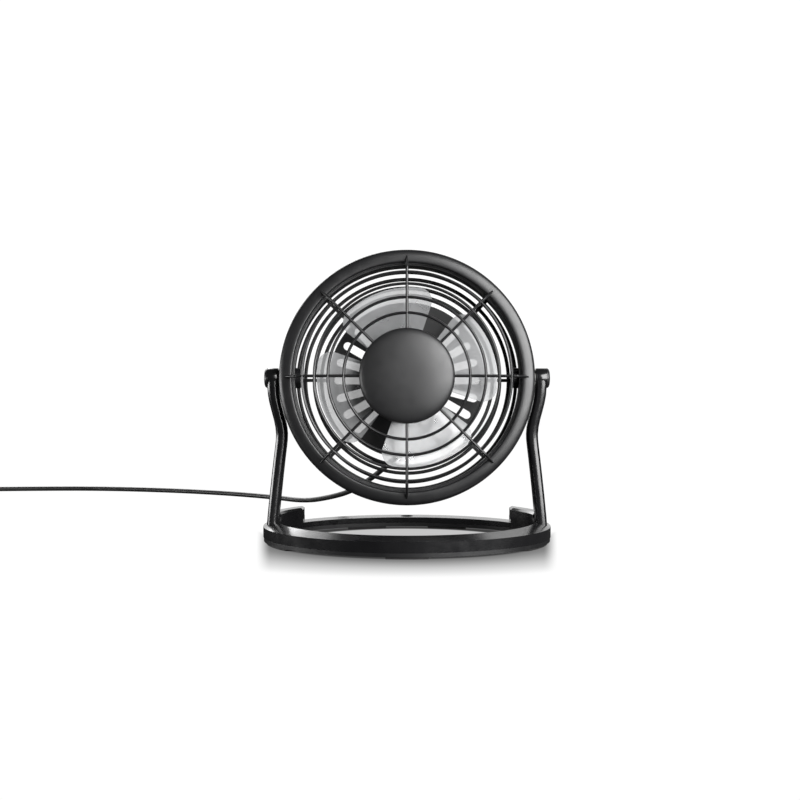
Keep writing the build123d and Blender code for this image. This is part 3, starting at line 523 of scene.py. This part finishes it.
def lathe(name, profile, frame_matrix, steps=96, closed=True):
    """Turns a profile of (radius, position along the axis), in mm, round the piece's own Y axis."""
    bpy.ops.object.select_all(action="DESELECT")
    first_r, first_y = profile[0]
    facing_front = (math.pi / 2, 0.0, 0.0)
    bpy.ops.mesh.primitive_circle_add(vertices=steps, radius=first_r * MM, rotation=facing_front)
    piece = bpy.context.object
    piece.name = name
    bpy.ops.object.transform_apply(location=True, rotation=True, scale=True)
    start_edit()
    bpy.ops.transform.translate(value=(0.0, first_y * MM, 0.0))
    route = profile[1:] + profile[:1] if closed else profile[1:]
    radius, along = first_r, first_y
    for next_r, next_y in route:
        bpy.ops.mesh.extrude_region_move(
            TRANSFORM_OT_translate={"value": (0.0, (next_y - along) * MM, 0.0)}
        )
        grow = next_r / radius
        bpy.ops.transform.resize(value=(grow, 1.0, grow), center_override=(0.0, 0.0, 0.0))
        radius, along = next_r, next_y
    return end_edit(piece, frame_matrix)


def drawn(name, sections, frame_matrix, rotation, sides=12, corner=None):
    """Draws a bar through sections of (centre, (width, depth)), in mm.

    The section is a circle of some sides, or a square with its corners rounded."""
    bpy.ops.object.select_all(action="DESELECT")
    centre, size = sections[0]
    if corner is None:
        bpy.ops.mesh.primitive_circle_add(
            vertices=sides, radius=0.5 * MM, fill_type="NGON", rotation=rotation
        )
    else:
        bpy.ops.mesh.primitive_plane_add(size=1.0 * MM, rotation=rotation)
    piece = bpy.context.object
    piece.name = name
    bpy.ops.object.transform_apply(location=True, rotation=True, scale=True)
    start_edit()
    if corner is not None:
        bpy.ops.mesh.bevel(offset=corner * MM, segments=4, affect="VERTICES")
    bpy.ops.mesh.select_all(action="SELECT")
    bpy.ops.transform.resize(value=size, center_override=(0.0, 0.0, 0.0))
    bpy.ops.transform.translate(value=in_metres(centre))
    for next_centre, next_size in sections[1:]:
        step = tuple((b - a) * MM for a, b in zip(centre, next_centre))
        bpy.ops.mesh.extrude_region_move(TRANSFORM_OT_translate={"value": step})
        grow = tuple(b / a for a, b in zip(size, next_size))
        bpy.ops.transform.resize(value=grow, center_override=in_metres(next_centre))
        centre, size = next_centre, next_size
    return end_edit(piece, frame_matrix)


def copied(piece, name, matrix):
    """The same shape again, with a mesh of its own, turned or mirrored into place."""
    twin = bpy.data.objects.new(name, piece.data.copy())
    bpy.context.scene.collection.objects.link(twin)
    bpy.ops.object.select_all(action="DESELECT")
    bpy.context.view_layer.objects.active = twin
    twin.select_set(True)
    twin.matrix_world = matrix
    bpy.ops.object.transform_apply(location=True, rotation=True, scale=True)
    if matrix.determinant() < 0.0:
        bpy.ops.object.mode_set(mode="EDIT")
        bpy.ops.mesh.select_all(action="SELECT")
        bpy.ops.mesh.normals_make_consistent(inside=False)
        bpy.ops.object.mode_set(mode="OBJECT")
    return twin


def joined(name, pieces):
    bpy.ops.object.select_all(action="DESELECT")
    for piece in pieces:
        piece.select_set(True)
    bpy.context.view_layer.objects.active = pieces[0]
    bpy.ops.object.join()
    pieces[0].name = name
    return pieces[0]


def settle(piece, body, material, slot, *replaced):
    dress(piece, material)
    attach(piece, body)
    if replaced:
        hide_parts(*replaced)


# ---------------------------------------------------------------- bezel
BEZEL_R = 64.4
BEZEL_PROFILE = [
    (56.35, -5.0),
    (56.3, -9.3),
    (56.45, -9.65),
    (57.0, -9.75),
    (57.05, -10.3),
    (57.15, -10.45),
    (57.5, -10.5),
    (57.55, -11.2),
    (57.7, -11.65),
    (58.1, -11.95),
    (58.6, -12.05),
    (60.0, -11.98),
    (61.4, -11.8),
    (62.6, -11.5),
    (63.5, -11.05),
    (64.05, -10.4),
    (64.35, -9.6),
    (BEZEL_R, -8.8),
    (BEZEL_R, -5.4),
    (64.2, -5.0),
]
BEZEL_STEPS = 192
bezel_ring = lathe("bezel_ring", BEZEL_PROFILE, HEAD, BEZEL_STEPS)
settle(bezel_ring, "head", SATIN_BLACK, "black_satin", "bezel")

# ---------------------------------------------------------------- front guard
CAP_R = 23.7
GUARD_START_Y = -19.75
GUARD_BEND_R = 54.0
GUARD_BEND_Y = -18.4
GUARD_RING_RADII = (31.4, 39.2, 46.0, 52.0)
WIRE = 1.5
WIRE_DEPTH = 2.2
WIRE_SIDES = 12
RING_STEPS = 144
SPOKES = 8
SPOKE_SIDES = 14
SPOKE_RADII = (21.0, 26.0, 32.0, 38.0, 44.0, 49.0, 52.5, 54.3)
# past the bend: radius, place along the axis, depth and width of the spoke, down to its tip
SPOKE_BEND = (
    (55.8, -17.4, 2.5, 1.45),
    (57.4, -15.4, 2.9, 1.35),
    (59.0, -13.6, 2.6, 1.2),
    (60.2, -12.6, 1.5, 1.0),
    (61.0, -12.2, 0.7, 0.7),
)
HUB_PROFILE = [(5.9, -21.0), (22.1, -21.0), (22.1, -19.0), (5.9, -19.0)]
HUB_STEPS = 64


def guard_y(radius):
    share = (radius - CAP_R) / (GUARD_BEND_R - CAP_R)
    return GUARD_START_Y + (GUARD_BEND_Y - GUARD_START_Y) * share**2


def guard_ring(radius):
    profile = []
    for k in range(WIRE_SIDES):
        angle = 2.0 * math.pi * k / WIRE_SIDES
        across = WIRE / 2 * math.cos(angle)
        along = WIRE_DEPTH / 2 * math.sin(angle)
        profile.append((radius + across, guard_y(radius) + along))
    return lathe(f"guard_ring_{radius:.0f}", profile, HEAD, RING_STEPS)


def guard_spoke():
    sections = []
    for radius in SPOKE_RADII:
        sections.append(((radius, guard_y(max(radius, CAP_R)), 0.0), (1.0, WIRE_DEPTH, WIRE)))
    for radius, along, depth, width in SPOKE_BEND:
        sections.append(((radius, along, 0.0), (1.0, depth, width)))
    facing_out = (0.0, math.pi / 2, 0.0)
    return drawn("guard_spoke_0", sections, Matrix.Identity(4), facing_out, SPOKE_SIDES)


def make_guard():
    first = guard_spoke()
    bars = []
    for k in range(1, SPOKES):
        turn = HEAD @ Matrix.Rotation(2.0 * math.pi * k / SPOKES, 4, "Y")
        bars.append(copied(first, f"guard_spoke_{k}", turn))
    bars.append(copied(first, f"guard_spoke_{SPOKES}", HEAD))
    bpy.data.objects.remove(first)
    hub = lathe("guard_hub", HUB_PROFILE, HEAD, HUB_STEPS)
    rings = [guard_ring(radius) for radius in GUARD_RING_RADII]
    guard = joined("front_guard", [hub] + rings + bars)
    settle(guard, "head", SATIN_BLACK, "black_satin", "front_grille")


make_guard()

# ---------------------------------------------------------------- centre cap
CAP_PROFILE = [
    (0.02, -26.0),
    (3.0, -25.99),
    (6.5, -25.93),
    (10.0, -25.78),
    (13.5, -25.5),
    (16.5, -25.13),
    (19.0, -24.7),
    (20.8, -24.28),
    (22.1, -23.82),
    (22.9, -23.35),
    (23.4, -22.8),
    (CAP_R, -22.1),
    (CAP_R, -21.2),
    (23.5, -21.0),
    (5.8, -21.0),
    (5.8, -19.4),
    (0.02, -19.4),
]
CAP_STEPS = 128
centre_dome = lathe("centre_dome", CAP_PROFILE, HEAD, CAP_STEPS, closed=False)
settle(centre_dome, "head", FROSTED_BLACK, "black_satin", "centre_cap")

# ---------------------------------------------------------------- arms and knobs
ARM_THICKNESS = 5.8
ARM_CORNER = 0.3
KNOB_STEPS = 64
# height, distance from the middle, depth and place from front to back
ARM_LEVELS = [
    (7.9, 68.7, 15.4, -0.3),
    (14.0, 68.2, 14.8, -0.27),
    (24.0, 67.2, 13.7, -0.2),
    (34.0, 66.1, 12.6, -0.13),
    (43.0, 65.05, 11.5, -0.06),
    (49.0, 64.3, 10.8, 0.0),
    (52.5, 63.9, 10.4, 0.0),
    (55.5, 63.8, 10.2, 0.0),
    (59.0, 64.1, 10.2, 0.0),
    (63.0, 64.9, 10.2, 0.0),
    (67.5, 66.1, 10.2, 0.0),
    (71.5, 67.1, 10.2, 0.0),
    (75.5, 67.8, 10.2, 0.0),
    (80.0, 68.1, 10.2, 0.0),
    (84.0, 68.1, 10.0, 0.0),
]
PIVOT_HEIGHT = Matrix.Translation((0.0, 0.0, PIVOT_Z * MM))
PIVOT = PIVOT_HEIGHT @ Matrix.Rotation(math.pi / 2, 4, "Z")
EYE_PROFILE = [(4.2, -65.25), (4.9, -65.35), (5.1, -65.7), (5.1, -70.6), (4.9, -70.9), (4.2, -71.0)]
KNOB_PROFILE = [
    (0.02, -72.6),
    (2.4, -72.58),
    (3.7, -72.4),
    (4.5, -72.05),
    (4.95, -71.5),
    (5.1, -70.95),
    (4.3, -70.95),
    (0.02, -70.95),
]
MIRROR = Matrix.Scale(-1.0, 4, (1.0, 0.0, 0.0))


def make_arms():
    sections = [((x, y, z), (ARM_THICKNESS, depth, 1.0)) for z, x, depth, y in ARM_LEVELS]
    bar = drawn("arm_bar", sections, Matrix.Identity(4), (0.0, 0.0, 0.0), corner=ARM_CORNER)
    eye = lathe("arm_eye", EYE_PROFILE, PIVOT, KNOB_STEPS)
    right = joined("right_arm_bar", [bar, eye])
    knob = lathe("right_knob", KNOB_PROFILE, PIVOT, KNOB_STEPS, closed=False)
    left = copied(right, "left_arm_bar", MIRROR)
    left_knob = copied(knob, "left_knob", MIRROR)
    settle(right, "stand", GLOSS_BLACK, "black_gloss", "right_arm")
    settle(left, "stand", GLOSS_BLACK, "black_gloss", "left_arm")
    settle(joined("pivot_knobs", [knob, left_knob]), "stand", SATIN_BLACK, "black_gloss", "pivot_caps")


make_arms()

# ---------------------------------------------------------------- strain relief
RELIEF_Y = 31.0
RELIEF_PROFILE = [
    (1.52, -24.0),
    (2.0, -24.0),
    (2.15, -23.8),
    (2.3, -22.8),
    (1.85, -22.6),
    (1.95, -22.1),
    (2.45, -21.9),
    (2.65, -20.9),
    (2.15, -20.7),
    (2.25, -20.2),
    (2.8, -20.0),
    (2.95, -19.0),
    (2.45, -18.8),
    (2.55, -18.4),
    (3.3, -18.2),
    (3.4, -17.9),
    (3.4, -17.2),
    (1.52, -17.2),
]
RELIEF_PLACE = Matrix.Translation((0.0, RELIEF_Y * MM, 0.0))
RELIEF_FRAME = HEAD @ RELIEF_PLACE @ Matrix.Rotation(math.pi / 2, 4, "X")
RELIEF_STEPS = 48
cord_grommet = lathe("cord_grommet", RELIEF_PROFILE, RELIEF_FRAME, RELIEF_STEPS)
settle(cord_grommet, "head", RUBBER, "rubber", "strain_relief")

# ---------------------------------------------------------------- USB plug
PLUG_SIZE = (15.6, 20.0, 7.6)
PLUG_EDGE = 1.9
PLUG_RIBS = 5
PLUG_RIB_SPACING = 2.0
PLUG_RIB_INSET = 5.0
PLUG_RIB_WIDTH = 0.8
PLUG_RIB_HEIGHT = 0.7
PLUG_RIB_EDGE = 0.22
PLUG_RIB_RISE = 0.25
PLUG_RELIEF_LENGTH = 8.0
PLUG_FRAME = Matrix.Translation(in_metres(TAIL_ROUTE[-1]))
PLUG_RELIEF_PROFILE = [
    (1.5, 0.0),
    (2.1, 0.0),
    (2.3, 0.3),
    (2.4, 1.4),
    (2.0, 1.6),
    (2.05, 2.1),
    (2.6, 2.3),
    (2.75, 3.6),
    (2.3, 3.8),
    (2.4, 4.3),
    (2.95, 4.5),
    (3.1, 5.8),
    (2.6, 6.0),
    (2.7, 6.5),
    (3.3, 6.8),
    (3.5, 7.4),
    (3.5, PLUG_RELIEF_LENGTH + 0.3),
    (1.5, PLUG_RELIEF_LENGTH + 0.3),
]


def soft_box(name, centre, size, edge, segments, frame_matrix):
    """A box with its edges rounded, in mm."""
    bpy.ops.object.select_all(action="DESELECT")
    bpy.ops.mesh.primitive_cube_add(size=1.0 * MM)
    piece = bpy.context.object
    piece.name = name
    start_edit()
    bpy.ops.transform.resize(value=size, center_override=(0.0, 0.0, 0.0))
    bpy.ops.transform.translate(value=in_metres(centre))
    bpy.ops.mesh.bevel(offset=edge * MM, segments=segments, affect="EDGES")
    return end_edit(piece, frame_matrix)


def make_plug():
    width, length, height = PLUG_SIZE
    middle = PLUG_RELIEF_LENGTH + length / 2
    block = (width, length, height - 2 * PLUG_RIB_RISE)
    parts = [soft_box("plug_shell_block", (0.0, middle, 0.0), block, PLUG_EDGE, 5, PLUG_FRAME)]
    rib_size = (width - PLUG_RIB_INSET, PLUG_RIB_WIDTH, PLUG_RIB_HEIGHT)
    for k in range(PLUG_RIBS):
        along = middle + PLUG_RIB_SPACING * (k - (PLUG_RIBS - 1) / 2)
        for side in (-1.0, 1.0):
            rib_centre = (0.0, along, side * (height - PLUG_RIB_HEIGHT) / 2)
            parts.append(soft_box("plug_rib", rib_centre, rib_size, PLUG_RIB_EDGE, 2, PLUG_FRAME))
    handle = joined("plug_handle", parts)
    settle(handle, "stand", SATIN_BLACK, "black_satin", "plug_body")
    relief = lathe("plug_grommet", PLUG_RELIEF_PROFILE, PLUG_FRAME, RELIEF_STEPS)
    settle(relief, "stand", RUBBER, "rubber", "plug_relief")
    return [handle, relief]


make_cord(make_plug())

# ---------------------------------------------------------------- studio
FLOOR_HALF = 6.0
FLOOR_GLOW = 1.02
SCREEN_GLOW = 1.08
SCREEN_PLACE = (0.0, 3.2, 1.2)
SCREEN_SCALE = (2.2, 1.5, 1.0)
ROOM_GLOW = 0.05
# half of the base's width and depth
BASE_HALF_X = 73.5
BASE_HALF_Y = 53.0
# painted shadow and reflection of the base: how light the floor is at some shares of the base's own
# outline
FLOOR_PAINTED_SHADOW = (
    (0.78, 0.55),
    (0.82, 0.05),
    (0.93, 0.05),
    (0.98, 0.20),
    (1.06, 0.25),
    (1.22, 0.41),
    (1.38, 0.58),
    (1.56, 0.74),
    (1.80, 0.97),
    (2.00, 1.00),
)
PAINTED_SHADOW_REACH = 2.0
# where the painted shadow and reflection end: behind the middle, outside the base's outline and beside
# the base
BEHIND_FADE = (0.0, 0.035)
OUTLINE_FADE = (0.97, 1.06)
SIDE_FADE = (0.070, 0.078)
SIDE_SLOPE = -0.104
# sockets of a Mix node that mixes colours
MIX_FACTOR, MIX_A, MIX_B = 0, 6, 7
MIX_RESULT = 2


def bare_material(name):
    material = bpy.data.materials.new(name)
    material.use_nodes = True
    material.node_tree.nodes.clear()
    return material, material.node_tree


def glowing(tree, colour, strength):
    glow = tree.nodes.new("ShaderNodeEmission")
    feed(tree, glow.inputs["Color"], colour)
    glow.inputs["Strength"].default_value = strength
    return glow.outputs["Emission"]


def painted_shadow_round_base(tree, reach):
    """Painted shadow and reflection of the base: a grey that lightens with the distance from the base's
    outline.
    """
    shade = tree.nodes.new("ShaderNodeValToRGB")
    stops = shade.color_ramp.elements
    first, last = FLOOR_PAINTED_SHADOW[0], FLOOR_PAINTED_SHADOW[-1]
    for stop, (reached, level) in zip(stops, (first, last)):
        stop.position = reached / PAINTED_SHADOW_REACH
        stop.color = (level, level, level, 1.0)
    for reached, level in FLOOR_PAINTED_SHADOW[1:-1]:
        stops.new(reached / PAINTED_SHADOW_REACH).color = (level, level, level, 1.0)
    tree.links.new(number(tree, "MULTIPLY", reach, 1.0 / PAINTED_SHADOW_REACH), shade.inputs["Fac"])
    return shade.outputs["Color"]


def floor_colour_painted_shadow(tree):
    """White, with a painted shadow under the base and a painted shadow and reflection in front of it,
    and none behind it or beside it.
    """
    place = object_place(tree)
    outline = (1.0 / (BASE_HALF_X * MM), 1.0 / (BASE_HALF_Y * MM), 0.0)
    reach = length_of(tree, scaled(tree, place, outline))
    split = tree.nodes.new("ShaderNodeSeparateXYZ")
    tree.links.new(place, split.inputs["Vector"])
    across, along = split.outputs["X"], split.outputs["Y"]
    behind = spread(tree, along, 0.0, 1.0, *BEHIND_FADE)
    outside = spread(tree, reach, 0.0, 1.0, *OUTLINE_FADE)
    side = number(tree, "MULTIPLY_ADD", along, SIDE_SLOPE, number(tree, "ABSOLUTE", across))
    beside = spread(tree, side, 0.0, 1.0, *SIDE_FADE, "SMOOTHSTEP")
    white = number(tree, "MAXIMUM", number(tree, "MULTIPLY", behind, outside), beside)
    mixed = tree.nodes.new("ShaderNodeMix")
    mixed.data_type = "RGBA"
    feed(tree, mixed.inputs[MIX_FACTOR], white)
    # painted shadow and reflection of the base on the floor
    feed(tree, mixed.inputs[MIX_A], painted_shadow_round_base(tree, reach))
    feed(tree, mixed.inputs[MIX_B], (1.0, 1.0, 1.0, 1.0))
    return mixed.outputs[MIX_RESULT]


def add_floor():
    """A pale floor to look at, with the base's painted shadow and reflection, and a dark one in
    reflections and for the light it gives back.
    """
    bpy.ops.object.select_all(action="DESELECT")
    bpy.ops.mesh.primitive_plane_add(size=2 * FLOOR_HALF, location=(0, 0, 0))
    floor = bpy.context.object
    floor.name = "studio_floor"
    material, tree = bare_material("pale_floor_painted_shadow")
    dim = tree.nodes.new("ShaderNodeBsdfDiffuse")
    dim.inputs["Color"].default_value = (0.03, 0.03, 0.03, 1.0)
    path = tree.nodes.new("ShaderNodeLightPath")
    seen = tree.nodes.new("ShaderNodeMixShader")
    tree.links.new(path.outputs["Is Camera Ray"], seen.inputs["Fac"])
    tree.links.new(dim.outputs["BSDF"], seen.inputs[1])
    tree.links.new(glowing(tree, floor_colour_painted_shadow(tree), FLOOR_GLOW), seen.inputs[2])
    out = tree.nodes.new("ShaderNodeOutputMaterial")
    tree.links.new(seen.outputs["Shader"], out.inputs["Surface"])
    floor.data.materials.append(material)


def add_backdrop():
    bpy.ops.object.select_all(action="DESELECT")
    upright_turn = (math.pi / 2, 0.0, 0.0)
    bpy.ops.mesh.primitive_plane_add(size=2.0, location=SCREEN_PLACE, rotation=upright_turn)
    screen = bpy.context.object
    screen.name = "studio_screen"
    screen.scale = SCREEN_SCALE
    material, tree = bare_material("white_screen")
    out = tree.nodes.new("ShaderNodeOutputMaterial")
    glow = glowing(tree, (1.0, 1.0, 1.0, 1.0), SCREEN_GLOW)
    tree.links.new(glow, out.inputs["Surface"])
    screen.data.materials.append(material)


def add_world():
    """A white room to look at, and a dim one in reflections and for the light it gives."""
    world = bpy.data.worlds.new("studio_world")
    world.use_nodes = True
    tree = world.node_tree
    back = tree.nodes["Background"]
    back.inputs["Color"].default_value = (1.0, 1.0, 1.0, 1.0)
    path = tree.nodes.new("ShaderNodeLightPath")
    bright = number(tree, "MULTIPLY_ADD", path.outputs["Is Camera Ray"], 1.0, ROOM_GLOW)
    tree.links.new(bright, back.inputs["Strength"])
    bpy.context.scene.world = world


def add_area_light(name, place, aim, size, power):
    data = bpy.data.lights.new(name, "AREA")
    data.shape = "RECTANGLE"
    data.size, data.size_y = size
    data.energy = power
    lamp = bpy.data.objects.new(name, data)
    bpy.context.scene.collection.objects.link(lamp)
    lamp.location = place
    lamp.rotation_euler = (Vector(aim) - Vector(place)).to_track_quat("-Z", "Y").to_euler()


add_floor()
add_backdrop()
add_world()
# name, place, the point it shines at, size and power
for lamp_settings in (
    ("key_upper_right", (0.68, -0.78, 0.46), (0.0, 0.0, 0.08), (1.15, 0.95), 42.0),
    ("rear_fill", (-0.60, 1.00, 0.75), (0.0, 0.1, 0.08), (0.8, 0.6), 7.0),
    ("strip_left", (-0.70, -0.06, 0.07), (0.0, 0.0, 0.05), (0.8, 0.13), 3.6),
):
    add_area_light(*lamp_settings)
bpy.context.scene.view_settings.view_transform = "Standard"
